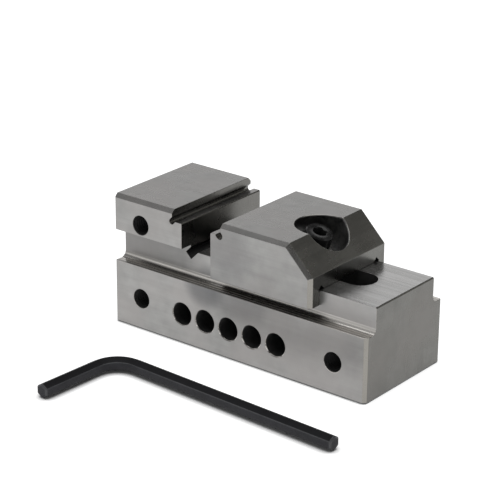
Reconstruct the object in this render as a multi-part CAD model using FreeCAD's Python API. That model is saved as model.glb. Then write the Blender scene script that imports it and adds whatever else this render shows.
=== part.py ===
import FreeCAD, Part
import math
import os

Vec = FreeCAD.Vector
X_AXIS = Vec(1, 0, 0)
Y_AXIS = Vec(0, 1, 0)
Z_AXIS = Vec(0, 0, 1)

# Frame, in millimetres: the origin is the centre of the base's bottom face, +X runs from the fixed
# jaw to the open end of the rail, +Y away from the front side, and +Z up.

# Base: a full-width foot, a narrower rail on it and the fixed jaw in one piece
base_length = 94.6
base_width = 38.0
foot_height = 20.6
rail_inset = 4.4
rail_height = 28.8
rail_foot_radius = 2.0
front_corner_chamfer = 1.0
back_corner_chamfer = 0.4
bottom_chamfer = 0.4
rail_end_chamfer = 0.35

# Both jaws
jaw_height = 42.2
jaw_step_depth = 3.7
jaw_step_drop = 3.5
jaw_edge_chamfer = 1.2
edge_break = 0.25
step_relief_depth = 1.1

# Fixed jaw
fixed_jaw_length = 26.5
fixed_jaw_underside = 30.6
fixed_relief_width = 1.8
rail_relief_width = 2.8
rail_relief_depth = 1.9
rail_relief_shift = 0.55

# Movable jaw, a saddle on the rail
jaw_opening = 11.1
movable_jaw_length = 37.0
slope_length = 8.7
slope_angle = 45.0
movable_relief_width = 2.3
movable_relief_shift = 0.4
leg_bottom = 24.1
slide_clearance = 0.04
channel_relief_side = 2.0
channel_relief_offset = 0.8

# Cross holes through the base, one of which holds the cross nut
cross_hole_count = 5
cross_hole_pitch = 8.9
cross_hole_diameter = 7.0
cross_hole_height = 9.45
cross_hole_break = 0.3
nut_hole_number = 4

# Slot along the rail for the screw, with a longer pocket below it
slot_width = 10.2
slot_start_gap = 6.6
slot_end_gap = 16.0
pocket_height = 18.0

# Tapped holes for work stops: drilled right through, then tapped from both sides, and drawn at the
# thread's outer diameter
stop_thread_diameter = 6.0
stop_drill_diameter = 5.0
stop_thread_depth = 12.0
stop_hole_break = 0.2
left_stop_distance = 10.3
right_stop_distance = 11.7
base_stop_height = 10.1
jaw_stop_height = 34.2

# Clamp screw, a socket head cap screw
screw_diameter = 5.0
screw_length = 30.0
head_diameter = 8.5
head_height = 5.0
head_edge_chamfer = 0.4
socket_width = 4.0
socket_depth = 2.6
screw_tip_chamfer = 0.6

# Ball seat under the screw's head, turning about the swivel point in the movable jaw
swivel_from_face = 25.1
swivel_height = 37.1
swivel_above_washer = 2.0
ball_radius = 5.8
ball_clearance = 0.05
washer_bore = 5.6
key_recess_diameter = 16.4
key_recess_tilt = 60.0
key_recess_break = 0.3
screw_way_width = 6.2
screw_swing = 9.5

# Keeper ring on the screw, below the movable jaw
keeper_thickness = 1.5
keeper_chamfer = 0.4
keeper_from_swivel = 13.6

# Cross nut, a barrel with a threaded hole across it
nut_clearance = 0.05
nut_length = 22.0
nut_end_chamfer = 0.6
nut_thread_clearance = 0.3
nut_slot_width = 1.2
nut_slot_depth = 1.2

# Hex key, lying on the floor in front of the base
key_across_flats = 4.0
key_long_arm = 82.5
key_short_arm = 30.2
key_bend_radius = 8.4
key_bend_angle = 89.0
key_end_chamfer = 0.35
key_corner_from_end = 22.0
key_corner_gap = 24.8
key_turn = -2.3

# Places worked out from the sizes above
left_end = -base_length / 2
right_end = base_length / 2
half_width = base_width / 2
rail_half = half_width - rail_inset
fixed_face = left_end + fixed_jaw_length
movable_face = fixed_face + jaw_opening
movable_back = movable_face + movable_jaw_length
shelf_height = jaw_height - jaw_step_drop
nut_hole_x = fixed_face + (nut_hole_number - 1) * cross_hole_pitch
nut_centre = Vec(nut_hole_x, 0, cross_hole_height)
swivel = Vec(movable_face + swivel_from_face, 0, swivel_height)
screw_tilt = math.degrees(math.atan2(swivel.z - nut_centre.z, swivel.x - nut_centre.x))


def tilted(angle):
    """Unit direction in the XZ plane, at an angle above +X."""
    return Vec(math.cos(math.radians(angle)), 0, math.sin(math.radians(angle)))


screw_axis = tilted(screw_tilt)
head_bottom = swivel - screw_axis * swivel_above_washer


def prism(corners, along):
    """Solid swept from a closed outline of corner points."""
    return Part.Face(Part.makePolygon(corners + corners[:1])).extrude(along)


def across(outline, width):
    """Solid from an outline of x and z pairs, centred across the base."""
    corners = [Vec(x, -width / 2, z) for x, z in outline]
    return prism(corners, Y_AXIS * width)


def lengthwise(outline, start, length):
    """Solid from an outline of y and z pairs, running along the base."""
    corners = [Vec(start, y, z) for y, z in outline]
    return prism(corners, X_AXIS * length)


def rod(start, direction, length, diameter):
    """Round bar from a start point along a direction."""
    return Part.makeCylinder(diameter / 2, length, start, direction)


def cross_rod(x, z, diameter):
    """Round bar right across the base."""
    return rod(Vec(x, -base_width, z), Y_AXIS, 2 * base_width, diameter)


def chamfered(shape, size, chosen):
    """Shape with a chamfer on each straight edge that a test on its two ends accepts."""
    picked = []
    for edge in shape.Edges:
        if len(edge.Vertexes) == 2 and chosen(edge.Vertexes[0].Point, edge.Vertexes[1].Point):
            picked.append(edge)
    return shape.makeChamfer(size, picked)


def near(a, b):
    return abs(a - b) < 0.001


def both(a, b, axis, value):
    """Whether two points have the same given coordinate."""
    return near(getattr(a, axis), value) and near(getattr(b, axis), value)


def upright(a, b):
    return near(a.x, b.x) and near(a.y, b.y)


def along_base(a, b):
    return near(a.y, b.y) and near(a.z, b.z)


def groove(corner, direction, width, depth, back):
    """Cutter across the base for a relief groove that points out of a corner."""
    side = direction.cross(Y_AXIS)
    start = corner - direction * back
    end = corner + direction * depth
    points = [start + side * width / 2, end + side * width / 2, end - side * width / 2, start - side * width / 2]
    return across([(p.x, p.z) for p in points], 2 * base_width)


def step_relief(corner, direction, width):
    """Round-bottomed relief groove in the inner corner of a jaw's step."""
    radius = width / 2
    flat = groove(corner, direction, width, step_relief_depth - radius, radius)
    end = corner + direction * (step_relief_depth - radius)
    return flat.fuse(cross_rod(end.x, end.z, width))


def broken_rim(x, y, z, outward, diameter, size):
    """Cutter that breaks the rim of a hole in a side of the base."""
    radius = diameter / 2
    return Part.makeCone(radius + size, radius, size, Vec(x, y, z), outward * -1)


def stop_hole(x, z):
    """Cutter for a hole right through the base, tapped from the front and the back."""
    drilled = cross_rod(x, z, stop_drill_diameter)
    tapped = []
    for side in (-1, 1):
        outward = Vec(0, side, 0)
        mouth = Vec(x, side * half_width, z)
        tapped.append(rod(mouth, outward * -1, stop_thread_depth, stop_thread_diameter))
        tapped.append(broken_rim(x, side * half_width, z, outward, stop_thread_diameter, stop_hole_break))
    return drilled.fuse(tapped)


def rail_slot(start, end, bottom, top):
    """Cutter for a round-ended slot along the base, between two end centres."""
    middle = Part.makeBox(end - start, slot_width, top - bottom, Vec(start, -slot_width / 2, bottom))
    ends = [rod(Vec(x, 0, bottom), Z_AXIS, top - bottom, slot_width) for x in (start, end)]
    return middle.fuse(ends)


def base_body():
    inner = rail_half + rail_foot_radius
    shoulder = foot_height + rail_foot_radius
    rail = lengthwise([(-half_width, 0), (half_width, 0), (half_width, foot_height), (inner, foot_height),
                       (inner, shoulder), (rail_half, shoulder), (rail_half, rail_height),
                       (-rail_half, rail_height), (-rail_half, shoulder), (-inner, shoulder),
                       (-inner, foot_height), (-half_width, foot_height)], left_end, base_length)
    for side in (-1, 1):
        hollow = rod(Vec(left_end, side * inner, shoulder), X_AXIS, base_length, 2 * rail_foot_radius)
        rail = rail.cut(hollow)

    step_wall = fixed_face - jaw_step_depth
    jaw = across([(left_end, fixed_jaw_underside), (fixed_face, fixed_jaw_underside),
                  (fixed_face, shelf_height), (step_wall, shelf_height),
                  (step_wall, jaw_height), (left_end, jaw_height)], base_width)
    jaw = chamfered(jaw, jaw_edge_chamfer, lambda a, b: along_base(a, b) and both(a, b, "z", jaw_height))
    jaw = chamfered(jaw, edge_break, lambda a, b: both(a, b, "z", shelf_height) and both(a, b, "x", fixed_face))
    stem_height = fixed_jaw_underside - foot_height
    stem = Part.makeBox(fixed_jaw_length, 2 * rail_half, stem_height, Vec(left_end, -rail_half, foot_height))
    body = rail.fuse([jaw, stem]).removeSplitter()
    body = chamfered(body, front_corner_chamfer, lambda a, b: upright(a, b) and near(a.x, right_end)
                     and near(a.y, -half_width))
    body = chamfered(body, back_corner_chamfer, lambda a, b: upright(a, b) and near(a.x, right_end)
                     and near(a.y, half_width))
    body = chamfered(body, edge_break, lambda a, b: upright(a, b) and near(a.x, left_end))
    body = chamfered(body, rail_end_chamfer, lambda a, b: both(a, b, "x", right_end) and both(a, b, "z", rail_height))
    body = chamfered(body, bottom_chamfer, lambda a, b: both(a, b, "z", 0))

    down_left = Vec(-1, 0, -1).normalize()
    cutters = [step_relief(Vec(step_wall, 0, shelf_height), down_left, fixed_relief_width)]
    rail_corner = Vec(fixed_face, 0, rail_height) + Vec(1, 0, -1).normalize() * rail_relief_shift
    back = rail_relief_width / 2 + rail_relief_shift
    cutters.append(groove(rail_corner, down_left, rail_relief_width, rail_relief_depth, back))
    slot_start = fixed_face + slot_start_gap
    slot_end = right_end - slot_end_gap
    cutters.append(rail_slot(slot_start, slot_end, 0, jaw_height))
    cutters.append(rail_slot(fixed_face, slot_end, 0, pocket_height))
    for number in range(cross_hole_count):
        x = fixed_face + number * cross_hole_pitch
        cutters.append(cross_rod(x, cross_hole_height, cross_hole_diameter))
        for side in (-1, 1):
            cutters.append(broken_rim(x, side * half_width, cross_hole_height, Vec(0, side, 0),
                                      cross_hole_diameter, cross_hole_break))
    cutters.append(stop_hole(left_end + left_stop_distance, base_stop_height))
    cutters.append(stop_hole(right_end - right_stop_distance, base_stop_height))
    cutters.append(stop_hole(left_end + left_stop_distance, jaw_stop_height))
    for cutter in cutters:
        body = body.cut(cutter)
    return body


def screw_way():
    """Cutter for the screw's way down through the jaw, wide enough for its swing."""
    reach = 2 * (swivel_height - rail_height)
    low = tilted(screw_tilt - screw_swing)
    high = tilted(screw_tilt + screw_swing)
    wedge = across([(swivel.x, swivel.z), (swivel.x - low.x * reach, swivel.z - low.z * reach),
                    (swivel.x - high.x * reach, swivel.z - high.z * reach)], screw_way_width)
    bars = [rod(swivel, direction * -1, reach, screw_way_width) for direction in (low, high)]
    return wedge.fuse(bars)


def key_recess():
    """Cutter for the recess that the key enters, with the ball seat in its floor."""
    axis = tilted(key_recess_tilt)
    floor = swivel - axis * swivel_above_washer
    well = rod(floor, axis, base_width, key_recess_diameter)
    seat = Part.makeSphere(ball_radius + ball_clearance, swivel)
    return well.fuse([seat, screw_way()])


def movable_jaw():
    step_wall = movable_face + jaw_step_depth
    drop = slope_length * math.tan(math.radians(slope_angle))
    slope_start = movable_back - slope_length
    jaw = across([(movable_face, leg_bottom), (movable_back, leg_bottom), (movable_back, jaw_height - drop),
                  (slope_start, jaw_height), (step_wall, jaw_height), (step_wall, shelf_height),
                  (movable_face, shelf_height)], base_width)

    def outer_edge(a, b):
        """Top, slope and rear edges on the two sides, which share one chamfer."""
        if not (both(a, b, "y", half_width) or both(a, b, "y", -half_width)):
            return False
        top = both(a, b, "z", jaw_height)
        rear = both(a, b, "x", movable_back)
        slope = not near(a.x, b.x) and not near(a.z, b.z)
        return top or rear or slope

    jaw = chamfered(jaw, jaw_edge_chamfer, outer_edge)
    jaw = chamfered(jaw, edge_break, lambda a, b: both(a, b, "z", shelf_height) and both(a, b, "x", movable_face))
    channel = Part.makeBox(2 * movable_jaw_length, 2 * (rail_half + slide_clearance),
                           rail_height + slide_clearance - leg_bottom + 1,
                           Vec(movable_face - movable_jaw_length / 2, -rail_half - slide_clearance, leg_bottom - 1))
    jaw = jaw.cut(channel)
    half_diagonal = channel_relief_side / math.sqrt(2)
    top = rail_height + slide_clearance
    for side in (-1, 1):
        y = side * (rail_half - channel_relief_offset)
        diamond = lengthwise([(y - half_diagonal, top), (y, top + half_diagonal), (y + half_diagonal, top),
                              (y, top - half_diagonal)], movable_face - 1, movable_jaw_length + 2)
        jaw = jaw.cut(diamond)
    relief_corner = Vec(step_wall, 0, shelf_height) + Vec(-1, 0, -1).normalize() * movable_relief_shift
    jaw = jaw.cut(step_relief(relief_corner, Vec(1, 0, -1).normalize(), movable_relief_width))
    jaw = jaw.cut(key_recess())

    def on_recess_rim(edge):
        """Whether an edge is a curved one that lies in the top or the slope."""
        if edge.Curve.TypeId == "Part::GeomLine":
            return False
        points = [vertex.Point for vertex in edge.Vertexes]
        points.append(edge.valueAt((edge.FirstParameter + edge.LastParameter) / 2))
        fall = math.tan(math.radians(slope_angle))
        return all(near(point.z, jaw_height - max(0, point.x - slope_start) * fall) for point in points)

    return jaw.makeChamfer(key_recess_break, [edge for edge in jaw.Edges if on_recess_rim(edge)])


def hexagon(centre, normal, across_flats, flat_side):
    """Hexagonal face, with one of its flats towards flat_side."""
    radius = across_flats / math.sqrt(3)
    turn = FreeCAD.Rotation(normal, 30)
    arm = turn.multVec(flat_side) * radius
    step = FreeCAD.Rotation(normal, 60)
    corners = []
    for _ in range(6):
        corners.append(centre + arm)
        arm = step.multVec(arm)
    return Part.Face(Part.makePolygon(corners + corners[:1]))


def on_screw(shape):
    """Place a shape made standing on the origin onto the screw's axis, foot at the head's bottom."""
    turn = FreeCAD.Rotation(Z_AXIS, screw_axis)
    placed = shape.copy()
    placed.Placement = FreeCAD.Placement(head_bottom, turn).multiply(placed.Placement)
    return placed


def clamp_screw():
    radius = screw_diameter / 2
    head_radius = head_diameter / 2
    outline = [Vec(0, 0, -screw_length), Vec(radius - screw_tip_chamfer, 0, -screw_length),
               Vec(radius, 0, screw_tip_chamfer - screw_length), Vec(radius, 0, 0), Vec(head_radius, 0, 0),
               Vec(head_radius, 0, head_height - head_edge_chamfer),
               Vec(head_radius - head_edge_chamfer, 0, head_height), Vec(0, 0, head_height)]
    solid = Part.Face(Part.makePolygon(outline + outline[:1])).revolve(Vec(0, 0, 0), Z_AXIS, 360)
    top = Vec(0, 0, head_height)
    socket = hexagon(top, Z_AXIS, socket_width, X_AXIS).extrude(Z_AXIS * -socket_depth)
    floor = Part.makeCone(socket_width / 2, 0, socket_width / 4, top - Z_AXIS * socket_depth, Z_AXIS * -1)
    mouth_radius = socket_width / math.sqrt(3)
    mouth = Part.makeCone(mouth_radius, socket_width / 2, mouth_radius - socket_width / 2, top, Z_AXIS * -1)
    return on_screw(solid.cut(socket.fuse([floor, mouth])))


def ball_washer():
    centre = Vec(0, 0, swivel_above_washer)
    ball = Part.makeSphere(ball_radius, centre)
    below = Part.makeBox(4 * ball_radius, 4 * ball_radius, 2 * ball_radius,
                         Vec(-2 * ball_radius, -2 * ball_radius, -2 * ball_radius))
    washer = ball.common(below).cut(rod(Z_AXIS * -3 * ball_radius, Z_AXIS, 4 * ball_radius, washer_bore))
    return on_screw(washer)


def keeper_ring():
    inside = screw_diameter / 2
    outside = inside + keeper_thickness
    height = swivel_above_washer - keeper_from_swivel
    low = height - keeper_thickness / 2
    high = height + keeper_thickness / 2
    cut = keeper_chamfer
    outline = [Vec(inside, 0, low + cut), Vec(inside + cut, 0, low), Vec(outside - cut, 0, low),
               Vec(outside, 0, low + cut), Vec(outside, 0, high - cut), Vec(outside - cut, 0, high),
               Vec(inside + cut, 0, high), Vec(inside, 0, high - cut)]
    ring = Part.Face(Part.makePolygon(outline + outline[:1])).revolve(Vec(0, 0, 0), Z_AXIS, 360)
    return on_screw(ring)


def cross_nut():
    diameter = cross_hole_diameter - 2 * nut_clearance
    start = nut_centre - Y_AXIS * nut_length / 2
    barrel = rod(start, Y_AXIS, nut_length, diameter)
    ends = [edge for edge in barrel.Edges if len(edge.Vertexes) == 1]
    barrel = barrel.makeChamfer(nut_end_chamfer, ends)
    thread = rod(nut_centre - screw_axis * diameter, screw_axis, 2 * diameter,
                 screw_diameter + 2 * nut_thread_clearance)
    barrel = barrel.cut(thread)
    for side in (-1, 1):
        slot = Part.makeBox(2 * diameter, 2 * nut_slot_depth, nut_slot_width,
                            Vec(-diameter, -nut_slot_depth, -nut_slot_width / 2))
        slot.Placement = FreeCAD.Placement(nut_centre + Y_AXIS * side * nut_length / 2,
                                           FreeCAD.Rotation(X_AXIS, screw_axis))
        barrel = barrel.cut(slot)
    return barrel


def hex_key():
    tangent = key_bend_radius * math.tan(math.radians(key_bend_angle / 2))
    height = key_across_flats / 2
    face = hexagon(Vec(tangent, 0, height), X_AXIS, key_across_flats, Z_AXIS)
    bend_centre = Vec(tangent, -key_bend_radius, 0)
    turned = face.copy()
    turned.rotate(bend_centre, Z_AXIS, key_bend_angle)
    short_way = FreeCAD.Rotation(Z_AXIS, key_bend_angle).multVec(X_AXIS * -1)
    long_arm = chamfered(face.extrude(X_AXIS * (key_long_arm - tangent)), key_end_chamfer,
                         lambda a, b: both(a, b, "x", key_long_arm))
    short_arm = chamfered(turned.extrude(short_way * (key_short_arm - tangent)), key_end_chamfer,
                          lambda a, b: near(a.dot(short_way), key_short_arm)
                          and near(b.dot(short_way), key_short_arm))
    bend = face.revolve(bend_centre, Z_AXIS, key_bend_angle)
    key = bend.fuse([long_arm, short_arm]).removeSplitter()
    corner = Vec(left_end + key_corner_from_end, -half_width - key_corner_gap, 0)
    key.Placement = FreeCAD.Placement(corner, FreeCAD.Rotation(Z_AXIS, key_turn)).multiply(key.Placement)
    return key


pieces = {
    "base_body": base_body(),
    "movable_jaw": movable_jaw(),
    "ball_washer": ball_washer(),
    "clamp_screw": clamp_screw(),
    "keeper_ring": keeper_ring(),
    "cross_nut": cross_nut(),
    "hex_key": hex_key(),
}

os.makedirs("parts", exist_ok=True)
for name, shape in pieces.items():
    shape.exportStep("parts/" + name + ".step")
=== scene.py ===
from functools import partial
import math

import bmesh
import bpy
from mathutils import Matrix, Quaternion, Vector


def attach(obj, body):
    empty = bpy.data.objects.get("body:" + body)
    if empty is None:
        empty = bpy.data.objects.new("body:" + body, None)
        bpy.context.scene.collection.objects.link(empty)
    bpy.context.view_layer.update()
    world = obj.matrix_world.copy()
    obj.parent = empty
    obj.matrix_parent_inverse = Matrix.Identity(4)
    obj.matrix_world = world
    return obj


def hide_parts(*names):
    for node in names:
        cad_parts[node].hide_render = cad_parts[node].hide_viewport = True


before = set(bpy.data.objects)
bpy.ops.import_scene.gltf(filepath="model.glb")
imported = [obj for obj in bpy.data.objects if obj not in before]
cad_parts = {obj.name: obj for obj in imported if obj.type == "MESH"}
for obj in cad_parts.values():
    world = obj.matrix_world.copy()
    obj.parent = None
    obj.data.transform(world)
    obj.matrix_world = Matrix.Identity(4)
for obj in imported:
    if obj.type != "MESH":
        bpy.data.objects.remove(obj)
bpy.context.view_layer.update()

MM = 0.001

# Camera, fitted to the edges and hole rims of the photograph
CAMERA_AZIMUTH = math.radians(38.113)
CAMERA_ELEVATION = math.radians(21.891)
CAMERA_ROLL = math.radians(0.495)
CAMERA_DISTANCE = 0.61316
CAMERA_AIM = Vector((-9.69, 0, 27.32)) * MM
CAMERA_LENS = 145.656
CAMERA_NEAR = 0.01
CAMERA_FAR = 20

# Edges and faces of the pieces
MERGE_DISTANCE = 0.0002 * MM
FLAT_ANGLE = math.radians(0.2)
EDGE_ANGLE = math.radians(25)
CREASE_ANGLE = math.radians(35)
THREAD_CREASE = math.radians(28)
EDGE_ROUNDING = 0.1 * MM

# How squarely a face looks one way, from 0 to 1, where a finish begins or ends
SQUARE = 0.9
END_SQUARE = 0.97
LEANING = 0.1
SIDEWAYS = 0.5
UPRIGHT = 0.2
UNDERSIDE_FADE = (-0.6, -0.3)
END_FADE = (0.75, 0.9)
SATIN_FADE = (0.8, 0.95)
BORE_WALL = 0.98
SLOT_WALL = 0.999

# Two parts of a face's direction multiplied, where corners, long chamfers and slopes begin
CORNER = 0.3
CHAMFER = 0.4
SLOPE_FADE = (0.2, 0.4)

# Base, as in the solid model
HALF_WIDTH = 19.0 * MM
RAIL_TOP = 28.8 * MM
STEM_HALF_WIDTH = 14.6 * MM
LEDGE_TOP = 24.0 * MM
CROSS_HOLES = [(-20.8, 9.45), (-11.9, 9.45), (-3.0, 9.45), (5.9, 9.45), (14.8, 9.45)]
CROSS_RADIUS = 3.5 * MM

# Room within which a wall of the slot lies
SLOT_HALF_WIDTH = 5.15 * MM
SLOT_START, SLOT_END = -26.0 * MM, 36.5 * MM
SLOT_BOTTOM, SLOT_TOP = 0.05 * MM, 28.6 * MM

# Room within which a wall of the key's recess lies, under the sliding jaw's top and slope
RECESS_TILT = math.radians(60)
RECESS_RADIUS = 8.6 * MM
RECESS_HALF_WIDTH = 9.0 * MM
RECESS_TOP = 42.1 * MM
RECESS_SLOPE = 60.75 * MM

# Tapped stop holes, as in the solid model
STOP_HOLES = [(-37.0, 10.1), (35.6, 10.1), (-37.0, 34.2)]
STOP_RADIUS = 3.0 * MM
STOP_THREAD_PITCH = 1.0 * MM
STOP_THREAD_CREST = 2.58 * MM
STOP_THREAD_DEPTH = 12.0 * MM
STOP_THREAD_START = 0.35 * MM
STOP_THREAD_BITE = 0.04 * MM
STOP_THREAD_FOOT = 0.42 * MM
STOP_THREAD_TOP = 0.06 * MM

# Clamp screw, as in the solid model
SWIVEL = Vector((15.4, 0, 37.1)) * MM
NUT_CENTRE = Vector((5.9, 0, 9.45)) * MM
HEAD_BELOW_SWIVEL = 2.0 * MM
SCREW_RADIUS = 2.5 * MM
SCREW_LENGTH = 30.0 * MM
PLAIN_SHANK = 8.0 * MM
TIP_CHAMFER = 0.6 * MM

# Head of the clamp screw
HEAD_RADIUS = 4.25 * MM
HEAD_HEIGHT = 5.0 * MM
HEAD_CHAMFER = 0.4 * MM
HEAD_FILLET = 0.2 * MM
HEAD_FOOT_BREAK = 0.15 * MM
HEAD_STEPS = 96
HEAD_SIDE_REACH = 0.01 * MM
KNURL_START, KNURL_END = 0.5 * MM, 4.1 * MM
KNURL_FADE = 0.1 * MM
KNURL_DEPTH = 0.09 * MM
SOCKET_WIDTH = 4.0 * MM
SOCKET_DEPTH = 2.6 * MM
SOCKET_CONE = 1.0 * MM
SOCKET_LIP = 0.06 * MM
SOCKET_LIP_DROP = 0.03 * MM

# Thread of the clamp screw, its flank and crest as shares of the pitch
SCREW_PITCH = 0.8 * MM
THREAD_DEPTH = 0.45 * MM
THREAD_FOOT = 0.15
THREAD_CREST_START, THREAD_CREST_END = 0.5, 0.62
THREAD_OVERLAP = 0.3 * MM
THREAD_STEPS = 32

# Rubber ring on the clamp screw
KEEPER_THICKNESS = 1.5 * MM
KEEPER_BELOW_HEAD = 11.6 * MM
KEEPER_SEGMENTS = 16
KEEPER_STEPS = 64

# Hex key, as in the solid model but lying on its corners
KEY_ACROSS_FLATS = 4.0 * MM
KEY_LONG_ARM = 82.5 * MM
KEY_SHORT_ARM = 30.2 * MM
KEY_BEND_RADIUS = 8.4 * MM
KEY_BEND_ANGLE = math.radians(89)
KEY_BEND_STEPS = 24
KEY_END_CHAMFER = 0.35 * MM
KEY_ROUNDING = 0.16 * MM
KEY_EDGE_ANGLE = math.radians(15)
KEY_CORNER = Vector((-25.3, -43.8, 0)) * MM
KEY_TURN = math.radians(-2.3)

# Painted shade on the front, darker cloudy patches where shade is reflected: place along and up, half
# sizes, strength
SHADE_PATCHES = [(-12.0, 20.0, 9.0, 7.5, 0.75), (0.0, 19.0, 14.0, 7.0, 0.35), (24.0, 14.0, 9.0, 8.0, 0.06),
                (42.0, 14.0, 6.0, 8.0, 0.1), (-4.0, 34.0, 12.0, 12.0, 0.4)]
PATCH_SHADE = (0.12, 0.122, 0.128)

# Tints of the ground steel by place, colour and strength; all but the corners' tint are painted light
SHEEN_STEEL = (0.78, 0.775, 0.77)
# Rubbed lines on the rail's top, brightened as painted sheen
RUBBED_SHEEN_TINT = (SHEEN_STEEL, 1.0)
CORNER_TINT = ((0.3, 0.287, 0.258), 0.8)
# Painted shade on faces that look down
UNDERSIDE_SHADE_TINT = ((0.02, 0.02, 0.02), 0.92)
# Painted warm reflection on slopes
SLOPE_REFLECTION_TINT = ((0.42, 0.405, 0.34), 0.5)
# Painted shade on the fixed jaw's step
STEP_SHADE_TINT = ((0.06, 0.058, 0.05), 0.3)
# Painted shade on long chamfers
LONG_CHAMFER_SHADE_TINT = ((0.1, 0.099, 0.095), 0.2)
# Painted sheen on the rail's and stem's sides
STEM_SHEEN_TINT = (SHEEN_STEEL, 0.12)
# Painted shade on the stem's left part, under the fixed jaw
STEM_LEFT_SHADE_TINT = ((0.02, 0.02, 0.018), 0.42)
# Warm painted shade on the ends
END_SHADE_TINT = ((0.02, 0.02, 0.008), 0.56)
# Painted shade at the foot of the sliding jaw's leg ends
JAW_LEG_SHADE_TINT = ((0.02, 0.02, 0.015), 0.5)

# Where the tints begin and end, along the base and up, and how near a face lies to its place
RAIL_REACH = 0.3 * MM
STEM_REACH = 0.1 * MM
STEP_END = -8.0 * MM
STEM_LEFT_FADE = (-24.0 * MM, -12.0 * MM)
JAW_LEG_END = 40.0 * MM
JAW_LEG_FADE = (23.0 * MM, 29.0 * MM)

# Scales of the grinding lines along the base, across it and upright, and of two sets along the base
FINE_LINES = [(60, 2600, 2600), (2600, 60, 2600), (2600, 2600, 90)]
BROAD_LINES = [(20, 420, 420), (420, 20, 420), (260, 260, 110)]
RAIL_LINES = (10, 1000, 1000)
LEDGE_LINES = (9, 1300, 1300)

# Milling lines on the ledge: painted shade in the groove under the jaw, paler toward its open ends, bright
# strokes as painted highlights
LEDGE_SHADE = (0.24, 0.23, 0.22)
LEDGE_LIT_GROOVE = (0.6, 0.58, 0.55)
MILLED_HIGHLIGHT = (0.85, 0.82, 0.78)
LEDGE_RIGHT = (22.0 * MM, 32.0 * MM)
LEDGE_LEFT = (-20.0 * MM, -6.0 * MM)

# Floor, a little below the object
FLOOR_RADIUS = 3.0
FLOOR_STEPS = 64
FLOOR_GAP = 0.02 * MM
FLOOR_COLOUR = (0.6, 0.6, 0.6, 1)
FLOOR_SEEN = 0.86
FLOOR_MIRRORED = 0.65

# Painted contact shadow where the object meets the floor: its reach, its fade and how pale it is past the
# base's end
BASE_CONTACT = 1.5 * MM
KEY_CONTACT = 3.4 * MM
CONTACT_FADE = (0.4, 0.9)
CONTACT_SAMPLES = 8
END_CONTACT = 0.85

# Where the key's part of the floor and the part past the base's end begin
KEY_FLOOR = -21.0 * MM
BASE_END = 47.2 * MM

# Lamp
LAMP_PLACE = Vector((0.05, 0.12, 1.8))
LAMP_SIZE = 2.3
LAMP_POWER = 19.0

# Room that the steel reflects: strengths, and between which shares of the way up or round they change
WHITE = (1, 1, 1, 1)
LOW_STRENGTH = (0.62, 1.1)
LOW_RISE = (0.31, 0.40)
LOW_FALL = (0.40, 0.51)
LEFT_WAY = (-0.8, -0.6)
LEFT_STRENGTH = (0.05, 0.4)
LEFT_RISE = (0.2, 0.6)
RIGHT_WAY = (0.62, 0.78)
RIGHT_SHADE = (1.0, 0.4)
RIGHT_FALL = (0.6, 0.85)


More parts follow.
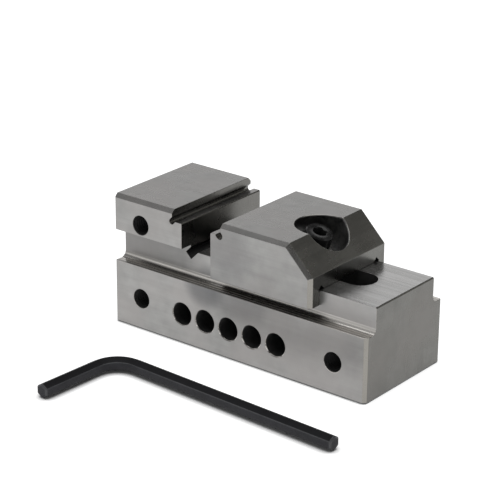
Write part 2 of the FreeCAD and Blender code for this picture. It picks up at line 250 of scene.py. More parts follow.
class Nodes:
    """The node tree of a material or the world, with short calls to add and link its nodes."""

    def __init__(self, tree):
        self.tree = tree
        tree.nodes.clear()

    def add(self, kind, inputs=None, **settings):
        node = self.tree.nodes.new(kind)
        for name, value in settings.items():
            setattr(node, name, value)
        for socket, value in (inputs or {}).items():
            if isinstance(value, bpy.types.NodeSocket):
                self.tree.links.new(value, node.inputs[socket])
            else:
                node.inputs[socket].default_value = value
        return node

    def math(self, operation, first, second=0.0):
        return self.add("ShaderNodeMath", {0: first, 1: second}, operation=operation).outputs[0]

    def plus(self, first, second):
        return self.math("ADD", first, second)

    def times(self, first, second):
        return self.math("MULTIPLY", first, second)

    def above(self, value, limit):
        return self.math("GREATER_THAN", value, limit)

    def below(self, value, limit):
        return self.math("LESS_THAN", value, limit)

    def larger(self, first, second):
        return self.math("MAXIMUM", first, second)

    def size(self, value):
        """The value without its sign."""
        return self.math("ABSOLUTE", value)

    def mixture(self, *shares):
        """Sum of values, each times its share."""
        total = self.times(*shares[0])
        for value, share in shares[1:]:
            total = self.plus(total, self.times(value, share))
        return total

    def parts(self, vector):
        return self.add("ShaderNodeSeparateXYZ", {0: vector}).outputs

    def noise(self, place, scale=1.0, detail=2.0):
        node = self.add("ShaderNodeTexNoise", {"Vector": place, "Scale": scale, "Detail": detail})
        return node.outputs["Fac"]

    def lines(self, place, scales, detail=2.0):
        """Noise drawn out into lines by a scale for each way."""
        drawn_out = self.add("ShaderNodeMapping", {"Vector": place, "Scale": scales})
        return self.noise(drawn_out.outputs[0], detail=detail)

    def pick(self, factor, first, second):
        """The first value at factor 0, the second at 1."""
        return self.add("ShaderNodeMix", {"Factor": factor, 2: first, 3: second}).outputs[0]

    def span(self, value, low, high, start=0.3, end=0.7, change="LINEAR"):
        """The value's range from start to end, carried over to low to high."""
        limits = {"Value": value, "From Min": start, "From Max": end, "To Min": low, "To Max": high}
        return self.add("ShaderNodeMapRange", limits, interpolation_type=change).outputs[0]

    def soft_span(self, value, low, high, start, end):
        """A span that eases in and out."""
        return self.span(value, low, high, start, end, "SMOOTHSTEP")

    def spot(self, at, x, z, wide, high):
        """A soft round patch on a face of fixed Y: 1 in its middle, 0 outside."""
        across = self.math("DIVIDE", self.math("SUBTRACT", at["X"], x * MM), wide * MM)
        upward = self.math("DIVIDE", self.math("SUBTRACT", at["Z"], z * MM), high * MM)
        away = self.plus(self.times(across, across), self.times(upward, upward))
        return self.soft_span(away, 1.0, 0.0, 0.0, 1.0)

    def blend(self, factor, first, second):
        """The first colour at factor 0, the second at 1."""
        node = self.add("ShaderNodeMix", {"Factor": factor}, data_type="RGBA")
        for socket, colour in ((node.inputs[6], first), (node.inputs[7], second)):
            if isinstance(colour, bpy.types.NodeSocket):
                self.tree.links.new(colour, socket)
            else:
                socket.default_value = (*colour, 1)
        return node.outputs[2]

    def tinted(self, colour, tint, *masks):
        """The colour, brought toward a tint's shade, at the tint's strength, where all its masks are 1."""
        shade, strength = tint
        factor = masks[0]
        for mask in (*masks[1:], strength):
            factor = self.times(factor, mask)
        return self.blend(factor, colour, shade)


def new_material(name):
    material = bpy.data.materials.new(name)
    material.use_nodes = True
    return material, Nodes(material.node_tree)


def finish_material(nodes, surface):
    nodes.add("ShaderNodeOutputMaterial", {"Surface": surface})


def lines_by_way(nodes, place, crossing, upright, ways):
    """Lines along the base, turned across it or upright where a mask is 1."""
    along, across, up = (nodes.lines(place, scales) for scales in ways)
    return nodes.pick(upright, nodes.pick(crossing, along, across), up)


def ground_lines(nodes, place, facing, corner):
    """Fine and broad lines of a grinding wheel: along the base, across it in grooves and on the slope, and
    up and down on its ends and corners."""
    endwise = nodes.size(facing["X"])
    upright = nodes.larger(nodes.above(endwise, END_SQUARE), corner)
    crossing = nodes.above(endwise, LEANING)
    return [lines_by_way(nodes, place, crossing, upright, ways) for ways in (FINE_LINES, BROAD_LINES)]


def with_painted_shade_patches(nodes, colour, at, facing, clouds):
    """The colour with painted shade on the front: darker cloudy patches where shade is reflected."""
    front = nodes.below(facing["Y"], -SQUARE)
    cloudy = nodes.span(clouds, 0.7, 1.0)
    for x, z, wide, high, strength in SHADE_PATCHES:
        patch = nodes.spot(at, x, z, wide, high)
        colour = nodes.tinted(colour, (PATCH_SHADE, strength), patch, cloudy, front)
    return colour


def with_rubbed_rail_and_sheen(nodes, colour, place, at, facing):
    """The colour with bright lines along the rail's top, where the jaw rubs it, lightened as painted sheen.
    """
    upward = nodes.above(facing["Z"], SQUARE)
    at_top = nodes.below(nodes.size(nodes.math("SUBTRACT", at["Z"], RAIL_TOP)), RAIL_REACH)
    lines = nodes.span(nodes.lines(place, RAIL_LINES, detail=1.0), 0.4, 0.66, 0.35, 0.65)
    return nodes.tinted(colour, RUBBED_SHEEN_TINT, upward, at_top, lines)


def with_milled_ledge_and_shade(nodes, colour, place, at, facing):
    """The colour with milling lines on the ledge between rail and foot, painted shade under the jaw and
    painted highlights on the lines.
    """
    low = nodes.below(at["Z"], LEDGE_TOP)
    upward = nodes.above(facing["Z"], LEANING)
    lines = nodes.span(nodes.lines(place, LEDGE_LINES, detail=0.0), 0, 1, 0.4, 0.6)
    right = nodes.span(at["X"], 0, 0.75, *LEDGE_RIGHT)
    left = nodes.span(at["X"], 0.4, 0, *LEDGE_LEFT)
    # Painted shade in the groove under the jaw, lifting toward the open ends
    groove = nodes.blend(nodes.plus(right, left), LEDGE_SHADE, LEDGE_LIT_GROOVE)
    milled = nodes.blend(lines, groove, MILLED_HIGHLIGHT)
    return nodes.tinted(colour, (milled, 1.0), low, upward)


def with_painted_face_light(nodes, colour, at, facing):
    """The colour with painted light for each way that a face looks: shade on undersides, steps, long
    chamfers, the stem's left part, the ends and the jaw leg's foot, warm reflection on slopes, sheen on the
    stem's sides."""
    colour = nodes.tinted(colour, UNDERSIDE_SHADE_TINT, nodes.span(facing["Z"], 1, 0, *UNDERSIDE_FADE))
    sloping = nodes.span(nodes.times(facing["X"], facing["Z"]), 0, 1, *SLOPE_FADE)
    colour = nodes.tinted(colour, SLOPE_REFLECTION_TINT, sloping)
    colour = nodes.tinted(colour, STEP_SHADE_TINT, sloping, nodes.below(at["X"], STEP_END))
    chamfer = nodes.above(nodes.size(nodes.times(facing["Y"], facing["Z"])), CHAMFER)
    colour = nodes.tinted(colour, LONG_CHAMFER_SHADE_TINT, chamfer)

    inset = nodes.below(nodes.size(at["Y"]), STEM_HALF_WIDTH + STEM_REACH)
    sideways = nodes.above(nodes.size(facing["Y"]), SIDEWAYS)
    stem = nodes.times(inset, sideways)
    colour = nodes.tinted(colour, STEM_SHEEN_TINT, stem)
    colour = nodes.tinted(colour, STEM_LEFT_SHADE_TINT, stem, nodes.span(at["X"], 1, 0, *STEM_LEFT_FADE))

    colour = nodes.tinted(colour, END_SHADE_TINT, nodes.span(nodes.size(facing["X"]), 0, 1, *END_FADE))
    leg_end = nodes.times(nodes.above(facing["X"], SQUARE), nodes.below(at["X"], JAW_LEG_END))
    return nodes.tinted(colour, JAW_LEG_SHADE_TINT, leg_end, nodes.span(at["Z"], 1, 0, *JAW_LEG_FADE))


def steel_shader(nodes, colour, roughness, height, relief):
    bump = nodes.add("ShaderNodeBump", {"Height": height, "Strength": relief, "Distance": 0.01 * MM})
    shader = nodes.add("ShaderNodeBsdfPrincipled", {"Base Color": colour, "Metallic": 1.0,
                                                    "Roughness": roughness, "Normal": bump.outputs[0]})
    finish_material(nodes, shader.outputs[0])


def ground_steel(name, dark, light, warm, smooth, rough):
    """Ground steel of the outer faces, finely lined, cloudy and mottled, with a tint for each place, mostly
    painted light.
    """
    material, nodes = new_material(name)
    coordinate = nodes.add("ShaderNodeTexCoord")
    place = coordinate.outputs["Object"]
    at = nodes.parts(place)
    facing = nodes.parts(coordinate.outputs["Normal"])
    corner = nodes.above(nodes.size(nodes.times(facing["X"], facing["Y"])), CORNER)
    fine, broad = ground_lines(nodes, place, facing, corner)
    clouds = nodes.noise(place, scale=75.0, detail=3.0)
    mottle = nodes.noise(place, scale=280.0, detail=3.0)
    tone = nodes.mixture((fine, 0.12), (broad, 0.24), (clouds, 0.36), (mottle, 0.28))
    colour = nodes.blend(nodes.span(tone, 0, 1, 0.41, 0.59), dark, light)
    colour = nodes.blend(nodes.span(nodes.noise(place, scale=48.0), 0, 0.6, 0.4, 0.6), colour, warm)

    colour = with_painted_shade_patches(nodes, colour, at, facing, clouds)
    colour = with_rubbed_rail_and_sheen(nodes, colour, place, at, facing)
    colour = nodes.tinted(colour, CORNER_TINT, corner, nodes.below(nodes.size(facing["Z"]), UPRIGHT))
    colour = with_milled_ledge_and_shade(nodes, colour, place, at, facing)
    colour = with_painted_face_light(nodes, colour, at, facing)

    uneven = nodes.mixture((broad, 0.4), (clouds, 0.6))
    satin = nodes.span(nodes.size(facing["Y"]), 0, 0.12, *SATIN_FADE)
    roughness = nodes.plus(nodes.span(uneven, smooth, rough, 0.4, 0.6), satin)
    steel_shader(nodes, colour, roughness, fine, relief=0.06)
    return material


def cut_steel(name, dark, light, smooth, rough):
    """Steel left from the drill, the tap or the lathe."""
    material, nodes = new_material(name)
    place = nodes.add("ShaderNodeTexCoord").outputs["Object"]
    specks = nodes.noise(place, scale=900.0, detail=3.0)
    clouds = nodes.noise(place, scale=160.0)
    tone = nodes.mixture((specks, 0.5), (clouds, 0.5))
    colour = nodes.blend(nodes.span(tone, 0, 1, 0.4, 0.6), dark, light)
    steel_shader(nodes, colour, nodes.span(tone, smooth, rough, 0.4, 0.6), specks, relief=0.3)
    return material


def black_steel(name, dark, light, dust_and_side_light, shine, smooth, rough):
    """Steel with a black oxide finish, cloudy, and paler on its sides than on top: specks of dust and
    painted light.
    """
    material, nodes = new_material(name)
    coordinate = nodes.add("ShaderNodeTexCoord")
    place = coordinate.outputs["Object"]
    facing = nodes.parts(coordinate.outputs["Normal"])
    clouds = nodes.noise(place, scale=260.0, detail=4.0)
    specks = nodes.noise(place, scale=2600.0)
    tone = nodes.mixture((clouds, 0.6), (specks, 0.4))
    colour = nodes.blend(nodes.span(tone, 0, 1), dark, light)
    # Sides paler than the top as painted light, mottled like dust
    sides = nodes.span(facing["Z"], 1, 0, 0.6, 0.9)
    colour = nodes.blend(nodes.times(sides, nodes.span(tone, 0.5, 1.0)), colour, dust_and_side_light)
    smoother = nodes.times(sides, -0.15)
    roughness = nodes.plus(nodes.span(tone, smooth, rough), smoother)
    bump = nodes.add("ShaderNodeBump", {"Height": specks, "Strength": 0.4, "Distance": 0.03 * MM})
    shader = nodes.add("ShaderNodeBsdfPrincipled", {"Base Color": colour, "Specular IOR Level": shine,
                                                    "Roughness": roughness, "Normal": bump.outputs[0]})
    finish_material(nodes, shader.outputs[0])
    return material


def rubber(name, dark, light, rough):
    """Matte rubber with fine specks."""
    material, nodes = new_material(name)
    place = nodes.add("ShaderNodeTexCoord").outputs["Object"]
    specks = nodes.noise(place, scale=3000.0, detail=3.0)
    colour = nodes.blend(nodes.span(specks, 0, 1), dark, light)
    bump = nodes.add("ShaderNodeBump", {"Height": specks, "Strength": 0.2, "Distance": 0.03 * MM})
    shader = nodes.add("ShaderNodeBsdfPrincipled", {"Base Color": colour, "Roughness": rough,
                                                    "Normal": bump.outputs[0]})
    finish_material(nodes, shader.outputs[0])
    return material


STEEL = ground_steel("ground_steel", dark=(0.325, 0.322, 0.315), light=(0.41, 0.406, 0.398),
                     warm=(0.39, 0.372, 0.363), smooth=0.25, rough=0.29)
# Walls of bores, stop threads and the key's recess: steel made nearly black as painted shade
SHADED_BORE_STEEL = cut_steel("bored_steel_painted_shade", dark=(0.06, 0.06, 0.06), light=(0.09, 0.089, 0.087),
                  smooth=0.68, rough=0.8)
SHADED_TAPPED_STEEL = cut_steel("tapped_steel_painted_shade", dark=(0.011, 0.011, 0.011), light=(0.02, 0.02, 0.0195),
                   smooth=0.35, rough=0.5)
SHADED_RECESS_STEEL = cut_steel("recessed_steel_painted_shade", dark=(0.09, 0.09, 0.09), light=(0.18, 0.179, 0.176),
                     smooth=0.32, rough=0.45)
TURNED = cut_steel("turned_steel", dark=(0.2, 0.197, 0.19), light=(0.3, 0.295, 0.285),
                   smooth=0.22, rough=0.32)
BLACK = black_steel("black_steel", dark=(0.004, 0.004, 0.0045), light=(0.007, 0.007, 0.0085),
                    dust_and_side_light=(0.064, 0.064, 0.071), shine=0.12, smooth=0.5, rough=0.62)
SCREW_BLACK = black_steel("screw_steel", dark=(0.005, 0.005, 0.005), light=(0.009, 0.009, 0.009),
                          dust_and_side_light=(0.02, 0.02, 0.02), shine=0.4, smooth=0.24, rough=0.32)
# Paler black steel for the key's upper edges and end chamfers: wear and painted highlight
WORN_HIGHLIGHT_BLACK = black_steel("worn_black_steel_painted_highlight", dark=(0.016, 0.016, 0.017), light=(0.028, 0.028, 0.03),
                         dust_and_side_light=(0.085, 0.087, 0.095), shine=0.5, smooth=0.3, rough=0.4)
RUBBER = rubber("black_rubber", dark=(0.012, 0.012, 0.012), light=(0.022, 0.022, 0.022), rough=0.6)


def node_copy(node):
    """A bmesh of a solid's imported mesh, its loose triangles joined into whole faces."""
    bm = bmesh.new()
    bm.from_mesh(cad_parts[node].data)
    bmesh.ops.remove_doubles(bm, verts=bm.verts, dist=MERGE_DISTANCE)
    bmesh.ops.dissolve_limit(bm, angle_limit=FLAT_ANGLE, verts=bm.verts, edges=bm.edges)
    return bm


def round_edges(bm, width, angle=EDGE_ANGLE):
    """Takes the sharpness off every outer edge, hole rims too, and gives back the rounded faces."""
    sharp = [edge for edge in bm.edges if edge.is_convex and edge.calc_face_angle(0) > angle]
    return bmesh.ops.bevel(bm, geom=sharp, offset=width, offset_type="OFFSET", segments=2, profile=0.5,
                           affect="EDGES", clamp_overlap=False, material=-1)["faces"]


def finish_piece(name, bm, body, materials, node=None, crease=CREASE_ANGLE):
    """Makes a smooth shaded piece that rides on a body, has a slot and may stand in for a node."""
    mesh = bpy.data.meshes.new(name)
    for material in materials:
        mesh.materials.append(material)
    for face in bm.faces:
        face.smooth = True
    bm.to_mesh(mesh)
    bm.free()
    mesh.set_sharp_from_angle(angle=crease)
    piece = bpy.data.objects.new(name, mesh)
    bpy.context.collection.objects.link(piece)
    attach(piece, body)
    if node:
        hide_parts(node)
    return piece


def shade_by_area(piece):
    """Keeps broad faces flat where rounded edges meet them."""
    weighted = piece.modifiers.new("weighted_normals", "WEIGHTED_NORMAL")
    weighted.mode = "FACE_AREA"
    weighted.weight = 100
    weighted.keep_sharp = True


def in_round_hole(point):
    """Whether a point lies in a cross hole or a stop hole, its rounded rim included."""
    for holes, radius in ((CROSS_HOLES, CROSS_RADIUS), (STOP_HOLES, STOP_RADIUS)):
        for x, z in holes:
            if math.hypot(point.x - x * MM, point.z - z * MM) < radius + EDGE_ROUNDING:
                return abs(point.y) < HALF_WIDTH
    return False


def in_slot(point):
    """Whether a point lies in the slot along the rail, its walls included."""
    return (SLOT_START < point.x < SLOT_END and abs(point.y) < SLOT_HALF_WIDTH
            and SLOT_BOTTOM < point.z < SLOT_TOP)


def in_base_bore(face):
    """Whether a face of the base is a wall of a cross hole, a stop hole or the slot."""
    point = face.calc_center_median()
    if abs(face.normal.y) < BORE_WALL and in_round_hole(point):
        return True
    return in_slot(point) and abs(face.normal.x) < SLOT_WALL


def in_recess(face):
    """Whether a face of the sliding jaw is a wall of the key's recess, the ball seat or the screw's way."""
    point = face.calc_center_median()
    axis = Vector((math.cos(RECESS_TILT), 0, math.sin(RECESS_TILT)))
    within = (point - SWIVEL).cross(axis).length < RECESS_RADIUS
    outer = point.z > RECESS_TOP or point.x + point.z > RECESS_SLOPE
    return within and not outer and abs(point.y) < RECESS_HALF_WIDTH


def steel_body(name, node, body, in_bore, inside):
    """A steel solid with rounded edges, and darker steel as painted shade on the walls of its bores."""
    bm = node_copy(node)
    round_edges(bm, EDGE_ROUNDING)
    bm.normal_update()
    for face in bm.faces:
        face.material_index = 1 if in_bore(face) else 0
    piece = finish_piece(name, bm, body, [STEEL, inside], node)
    shade_by_area(piece)


steel_body("vise_base", "base_body", "base", in_base_bore, SHADED_BORE_STEEL)
steel_body("sliding_jaw", "movable_jaw", "jaw", in_recess, SHADED_RECESS_STEEL)


def draw_out(bm, ring, way, length):
    """Draws an arm with a chamfered end out of a ring of edges, its chamfer paler as wear and painted
    highlight.
    """
    end_scale = 1 - 2 * KEY_END_CHAMFER / KEY_ACROSS_FLATS
    for distance, size in ((length - KEY_END_CHAMFER, 1), (KEY_END_CHAMFER, end_scale)):
        drawn = bmesh.ops.extrude_edge_only(bm, edges=ring)["geom"]
        ring = [item for item in drawn if isinstance(item, bmesh.types.BMEdge)]
        points = [item for item in drawn if isinstance(item, bmesh.types.BMVert)]
        bmesh.ops.translate(bm, vec=way * distance, verts=points)
        middle = sum((point.co for point in points), Vector()) / len(points)
        bmesh.ops.scale(bm, vec=(size, size, size), space=Matrix.Translation(-middle), verts=points)
    chamfer = {face for edge in ring for face in edge.link_faces}
    bmesh.ops.contextual_create(bm, geom=ring)
    for face in chamfer:
        face.material_index = 1


def key():
    """Hexagonal bar bent along the floor, a corner up and a corner down, its upper corners paler as wear
    and painted highlight.
    """
    bm = bmesh.new()
    tangent = KEY_BEND_RADIUS * math.tan(KEY_BEND_ANGLE / 2)
    corner_radius = KEY_ACROSS_FLATS / math.sqrt(3)
    bmesh.ops.create_circle(bm, cap_ends=False, segments=6, radius=corner_radius)
    stand_up = Matrix(((0, 0, 1), (1, 0, 0), (0, 1, 0)))
    bmesh.ops.rotate(bm, cent=(0, 0, 0), matrix=stand_up, verts=bm.verts)
    bmesh.ops.translate(bm, vec=(tangent, 0, corner_radius), verts=bm.verts)
    long_ring = bm.edges[:]
    bend = bmesh.ops.spin(bm, geom=bm.verts[:] + bm.edges[:], cent=(tangent, -KEY_BEND_RADIUS, 0),
                          axis=(0, 0, 1), dvec=(0, 0, 0), angle=KEY_BEND_ANGLE, steps=KEY_BEND_STEPS,
                          use_merge=False)
    short_ring = [item for item in bend["geom_last"] if isinstance(item, bmesh.types.BMEdge)]
    draw_out(bm, long_ring, Vector((1, 0, 0)), KEY_LONG_ARM - tangent)
    short_way = Vector((-math.cos(KEY_BEND_ANGLE), -math.sin(KEY_BEND_ANGLE), 0))
    draw_out(bm, short_ring, short_way, KEY_SHORT_ARM - tangent)
    bmesh.ops.recalc_face_normals(bm, faces=bm.faces)
    bmesh.ops.rotate(bm, cent=(0, 0, 0), matrix=Matrix.Rotation(KEY_TURN, 3, "Z"), verts=bm.verts)
    bmesh.ops.translate(bm, vec=KEY_CORNER, verts=bm.verts)
    for face in round_edges(bm, KEY_ROUNDING, KEY_EDGE_ANGLE):
        face.normal_update()
        # Rounded upper corners get the paler steel: wear and painted highlight
        face.material_index = int(face.normal.z > -LEANING)
    piece = finish_piece("bent_hex_key", bm, "key", [BLACK, WORN_HIGHLIGHT_BLACK], "hex_key")
    shade_by_area(piece)


key()


def revolved(bm, outline, steps):
    """Turns an outline of radius and height pairs about the Z axis."""
    points = [bm.verts.new((radius, 0, height)) for radius, height in outline]
    edges = [bm.edges.new(pair) for pair in zip(points, points[1:])]
    bmesh.ops.spin(bm, geom=points + edges, cent=(0, 0, 0), axis=(0, 0, 1), dvec=(0, 0, 0),
                   angle=math.tau, steps=steps, use_merge=True)
    bmesh.ops.remove_doubles(bm, verts=bm.verts, dist=MERGE_DISTANCE)


def helix(bm, outline, pitch, turns, closed):
    """Sweeps an outline of radius and height pairs up a helix about the Z axis."""
    points = [bm.verts.new((radius, 0, height)) for radius, height in outline]
    following = points[1:] + points[:1] if closed else points[1:]
    edges = [bm.edges.new(pair) for pair in zip(points, following)]
    step = Vector((0, 0, pitch / THREAD_STEPS))
    bmesh.ops.spin(bm, geom=points + edges, cent=(0, 0, 0), axis=(0, 0, 1), dvec=step,
                   angle=math.tau * turns, steps=THREAD_STEPS * turns, use_merge=False)


def head_outline(mouth):
    """Radius and height pairs from the shank's foot round the head to the socket's mouth."""
    shank = [(0, -PLAIN_SHANK), (SCREW_RADIUS, -PLAIN_SHANK), (SCREW_RADIUS, -HEAD_FILLET)]
    foot = [(SCREW_RADIUS + HEAD_FILLET, 0), (HEAD_RADIUS - HEAD_FOOT_BREAK, 0)]
    heights = (HEAD_FOOT_BREAK, KNURL_START - KNURL_FADE, KNURL_START, KNURL_END, KNURL_END + KNURL_FADE,
               HEAD_HEIGHT - HEAD_CHAMFER)
    side = [(HEAD_RADIUS, height) for height in heights]
    top = [(HEAD_RADIUS - HEAD_CHAMFER, HEAD_HEIGHT), (mouth + SOCKET_LIP, HEAD_HEIGHT),
           (mouth, HEAD_HEIGHT - SOCKET_LIP_DROP)]
    return shank + foot + side + top


def head_step(vert):
    """Which step round the head a point stands at."""
    return round(math.atan2(vert.co.y, vert.co.x) / math.tau * HEAD_STEPS)


def socket_head(bm):
    """Head with a knurled side, a hexagon socket with a coned mouth, and the plain part of the shank."""
    mouth = SOCKET_WIDTH / math.sqrt(3)
    revolved(bm, head_outline(mouth), HEAD_STEPS)
    side = [vert for vert in bm.verts if vert.co.xy.length > HEAD_RADIUS - HEAD_SIDE_REACH]
    knurled = [vert for vert in side if KNURL_START <= vert.co.z <= KNURL_END]
    grooves = [vert for vert in knurled if head_step(vert) % 2]
    depth = 1 - KNURL_DEPTH / HEAD_RADIUS
    bmesh.ops.scale(bm, vec=(depth, depth, 1), verts=grooves)

    rim = [edge for edge in bm.edges if edge.is_boundary]
    hexagon = bmesh.ops.create_circle(bm, cap_ends=False, segments=6, radius=mouth)["verts"]
    bmesh.ops.rotate(bm, cent=(0, 0, 0), matrix=Matrix.Rotation(math.tau / 12, 3, "Z"), verts=hexagon)
    sides = [edge for edge in bm.edges if edge.is_wire]
    bmesh.ops.subdivide_edges(bm, edges=sides, cuts=HEAD_STEPS // 6 - 1)
    brim = [edge for edge in bm.edges if edge.is_wire]
    for vert in {vert for edge in brim for vert in edge.verts}:
        vert.co.z = HEAD_HEIGHT - SOCKET_LIP_DROP - (mouth - vert.co.xy.length)
    bmesh.ops.bridge_loops(bm, edges=rim + brim)
    walls = bmesh.ops.extrude_edge_only(bm, edges=brim)["geom"]
    for item in walls:
        if isinstance(item, bmesh.types.BMVert):
            item.co.z = HEAD_HEIGHT - SOCKET_DEPTH
    bottom = [item for item in walls if isinstance(item, bmesh.types.BMEdge)]
    drawn = bmesh.ops.extrude_edge_only(bm, edges=bottom)["geom"]
    cone = [item for item in drawn if isinstance(item, bmesh.types.BMVert)]
    tip = Vector((0, 0, HEAD_HEIGHT - SOCKET_DEPTH - SOCKET_CONE))
    bmesh.ops.pointmerge(bm, verts=cone, merge_co=tip)


def screw_thread(bm):
    """Threaded part of the shank, from inside the plain part to a chamfered tip."""
    root = SCREW_RADIUS - THREAD_DEPTH
    pitch = SCREW_PITCH
    start = -SCREW_LENGTH - pitch
    turns = int((SCREW_LENGTH - PLAIN_SHANK) / pitch) + 3
    outline = [(root, start), (root, start + THREAD_FOOT * pitch),
               (SCREW_RADIUS, start + THREAD_CREST_START * pitch),
               (SCREW_RADIUS, start + THREAD_CREST_END * pitch), (root, start + pitch)]
    helix(bm, outline, pitch, turns, closed=False)
    bmesh.ops.remove_doubles(bm, verts=bm.verts, dist=MERGE_DISTANCE)
    for height, up in ((-SCREW_LENGTH, -1), (THREAD_OVERLAP - PLAIN_SHANK, 1)):
        bmesh.ops.bisect_plane(bm, geom=bm.verts[:] + bm.edges[:] + bm.faces[:], plane_co=(0, 0, height),
                               plane_no=(0, 0, up), clear_outer=True)
        bmesh.ops.holes_fill(bm, edges=[edge for edge in bm.edges if edge.is_boundary], sides=0)
    for vert in bm.verts:
        allowed = SCREW_RADIUS - TIP_CHAMFER + (vert.co.z + SCREW_LENGTH)
        if vert.co.xy.length > allowed:
            vert.co.xy *= allowed / vert.co.xy.length


def on_screw(bm):
    """Puts a shape made standing on the origin onto the screw's axis, foot at the head's bottom."""
    axis = (SWIVEL - NUT_CENTRE).normalized()
    turn = Vector((0, 0, 1)).rotation_difference(axis).to_matrix()
    bmesh.ops.rotate(bm, cent=(0, 0, 0), matrix=turn, verts=bm.verts)
    bmesh.ops.translate(bm, vec=SWIVEL - axis * HEAD_BELOW_SWIVEL, verts=bm.verts)


def joined(makers):
    """One bmesh from several closed shapes."""
    whole = bmesh.new()
    for make in makers:
        bm = bmesh.new()
        make(bm)
        bmesh.ops.remove_doubles(bm, verts=bm.verts, dist=MERGE_DISTANCE)
        bmesh.ops.recalc_face_normals(bm, faces=bm.faces)
        part = bpy.data.meshes.new("part")
        bm.to_mesh(part)
        bm.free()
        whole.from_mesh(part)
        bpy.data.meshes.remove(part)
    return whole


def cap_screw():
    bm = joined([socket_head, screw_thread])
    on_screw(bm)
    finish_piece("cap_screw", bm, "screw", [SCREW_BLACK], "clamp_screw", THREAD_CREASE)


def o_ring():
    """Rubber ring that keeps the ball seat and screw in the jaw."""
    bm = bmesh.new()
    centre = Vector((SCREW_RADIUS + KEEPER_THICKNESS / 2, 0, -KEEPER_BELOW_HEAD))
    circle = bmesh.ops.create_circle(bm, cap_ends=False, segments=KEEPER_SEGMENTS,
                                     radius=KEEPER_THICKNESS / 2)["verts"]
    bmesh.ops.rotate(bm, cent=(0, 0, 0), matrix=Matrix.Rotation(math.pi / 2, 3, "X"), verts=circle)
    bmesh.ops.translate(bm, vec=centre, verts=circle)
    bmesh.ops.spin(bm, geom=bm.verts[:] + bm.edges[:], cent=(0, 0, 0), axis=(0, 0, 1), dvec=(0, 0, 0),
                   angle=math.tau, steps=KEEPER_STEPS, use_merge=True)
    bmesh.ops.remove_doubles(bm, verts=bm.verts, dist=MERGE_DISTANCE)
    bmesh.ops.recalc_face_normals(bm, faces=bm.faces)
    on_screw(bm)
    finish_piece("o_ring", bm, "screw", [RUBBER], "keeper_ring")


def stop_thread(bm, x, z, side):
    """Thread ridge of one tapped end, its crest standing in from the hole's wall."""
    wall = STOP_RADIUS + STOP_THREAD_BITE
    outline = [(wall, -STOP_THREAD_FOOT), (STOP_THREAD_CREST, -STOP_THREAD_TOP),
               (STOP_THREAD_CREST, STOP_THREAD_TOP), (wall, STOP_THREAD_FOOT)]
    turns = int((STOP_THREAD_DEPTH - STOP_THREAD_START) / STOP_THREAD_PITCH) - 1
    helix(bm, outline, STOP_THREAD_PITCH, turns, closed=True)
    bmesh.ops.holes_fill(bm, edges=[edge for edge in bm.edges if edge.is_boundary], sides=len(outline))
    turn = Matrix.Rotation(side * math.pi / 2, 3, "X")
    bmesh.ops.rotate(bm, cent=(0, 0, 0), matrix=turn, verts=bm.verts)
    mouth = HALF_WIDTH - STOP_THREAD_START - STOP_THREAD_PITCH / 2
    bmesh.ops.translate(bm, vec=(x * MM, side * mouth, z * MM), verts=bm.verts)


def stop_threads():
    bm = joined([partial(stop_thread, x=x, z=z, side=side) for x, z in STOP_HOLES for side in (-1, 1)])
    finish_piece("stop_hole_threads", bm, "base", [SHADED_TAPPED_STEEL], crease=THREAD_CREASE)


cap_screw()
o_ring()
stop_threads()


def dress(node, material):
    """Gives a solid that stays as it is its finish."""
    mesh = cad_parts[node].data
    mesh.materials.clear()
    mesh.materials.append(material)


dress("ball_washer", TURNED)
dress("cross_nut", TURNED)


def contact(nodes, reach):
    """Mask of a painted contact shadow: 1 on the open floor, falling to 0 where the object is nearer than a
    reach.
    """
    near = nodes.add("ShaderNodeAmbientOcclusion", {"Distance": reach}, samples=CONTACT_SAMPLES)
    return nodes.span(near.outputs["AO"], 0, 1, *CONTACT_FADE)


def floor_material():
    """Floor that is white to the camera, pale in reflections, with a painted contact shadow where it meets
    the object.
    """
    material, nodes = new_material("floor")
    rays = nodes.add("ShaderNodeLightPath").outputs
    seen = nodes.times(nodes.larger(rays["Is Camera Ray"], rays["Is Transmission Ray"]), FLOOR_SEEN)
    mirrored = nodes.times(rays["Is Glossy Ray"], FLOOR_MIRRORED)
    at = nodes.parts(nodes.add("ShaderNodeTexCoord").outputs["Object"])
    by_key = nodes.below(at["Y"], KEY_FLOOR)
    close = contact(nodes, BASE_CONTACT)
    wide = contact(nodes, KEY_CONTACT)
    by_base = nodes.larger(close, nodes.times(nodes.above(at["X"], BASE_END), END_CONTACT))
    seen = nodes.times(seen, nodes.pick(by_key, by_base, wide))
    mirrored = nodes.times(mirrored, nodes.pick(by_key, 1.0, close))
    lit = nodes.add("ShaderNodeBsdfDiffuse", {"Color": FLOOR_COLOUR})
    glow = nodes.add("ShaderNodeEmission", {"Color": WHITE, "Strength": nodes.plus(seen, mirrored)})
    both = nodes.add("ShaderNodeAddShader", {0: lit.outputs[0], 1: glow.outputs[0]})
    finish_material(nodes, both.outputs[0])
    return material


def floor():
    bm = bmesh.new()
    bmesh.ops.create_circle(bm, cap_ends=True, segments=FLOOR_STEPS, radius=FLOOR_RADIUS)
    mesh = bpy.data.meshes.new("floor")
    bm.to_mesh(mesh)
    bm.free()
    mesh.transform(Matrix.Translation((0, 0, -FLOOR_GAP)))
    mesh.materials.append(floor_material())
    plate = bpy.data.objects.new("floor", mesh)
    bpy.context.collection.objects.link(plate)


floor()


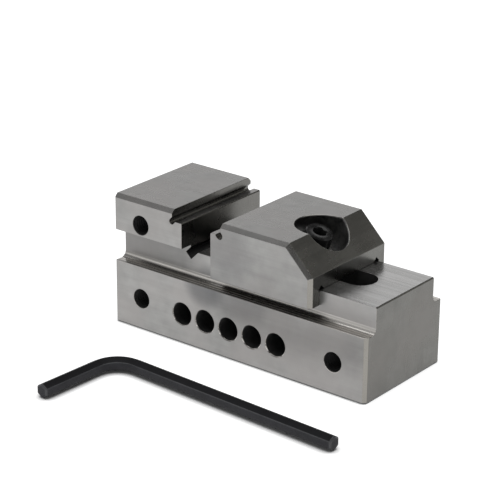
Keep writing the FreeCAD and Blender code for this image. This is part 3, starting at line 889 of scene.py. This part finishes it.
def overhead_lamp():
    """Broad round lamp above and a little behind, aimed at the object."""
    light = bpy.data.lights.new("overhead_lamp", "AREA")
    light.shape = "DISK"
    light.size = LAMP_SIZE
    light.energy = LAMP_POWER
    item = bpy.data.objects.new("overhead_lamp", light)
    bpy.context.collection.objects.link(item)
    item.location = LAMP_PLACE
    item.rotation_mode = "QUATERNION"
    item.rotation_quaternion = LAMP_PLACE.to_track_quat("Z", "Y")


overhead_lamp()


def studio():
    """A white room seen past the object. What the steel reflects is bright low down, dark above at the
    back and half bright on the left."""
    world = bpy.data.worlds.new("studio")
    bpy.context.scene.world = world
    world.use_nodes = True
    nodes = Nodes(world.node_tree)
    rays = nodes.add("ShaderNodeLightPath").outputs
    way = nodes.parts(nodes.add("ShaderNodeTexCoord").outputs["Generated"])
    low = nodes.soft_span(way["Z"], nodes.span(way["Z"], *LOW_STRENGTH, *LOW_RISE), 0.0, *LOW_FALL)
    right = nodes.mixture((way["X"], RIGHT_WAY[0]), (way["Y"], RIGHT_WAY[1]))
    low = nodes.times(low, nodes.soft_span(right, *RIGHT_SHADE, *RIGHT_FALL))
    left = nodes.mixture((way["X"], LEFT_WAY[0]), (way["Y"], LEFT_WAY[1]))
    around = nodes.larger(low, nodes.soft_span(left, *LEFT_STRENGTH, *LEFT_RISE))
    seen = nodes.larger(rays["Is Camera Ray"], rays["Is Transmission Ray"])
    sky = nodes.add("ShaderNodeBackground", {"Color": WHITE, "Strength": nodes.larger(seen, around)})
    nodes.add("ShaderNodeOutputWorld", {"Surface": sky.outputs[0]})


studio()


def camera():
    level = math.cos(CAMERA_ELEVATION)
    back = Vector((math.sin(CAMERA_AZIMUTH) * level, -math.cos(CAMERA_AZIMUTH) * level,
                   math.sin(CAMERA_ELEVATION)))
    roll = Quaternion((0, 0, 1), CAMERA_ROLL)
    data = bpy.data.cameras.new("camera")
    data.lens = CAMERA_LENS
    data.clip_start = CAMERA_NEAR
    data.clip_end = CAMERA_FAR
    item = bpy.data.objects.new("camera", data)
    bpy.context.collection.objects.link(item)
    item.location = CAMERA_AIM + back * CAMERA_DISTANCE
    item.rotation_mode = "QUATERNION"
    item.rotation_quaternion = back.to_track_quat("Z", "Y") @ roll
    bpy.context.scene.camera = item


camera()
bpy.context.scene.view_settings.view_transform = "Standard"
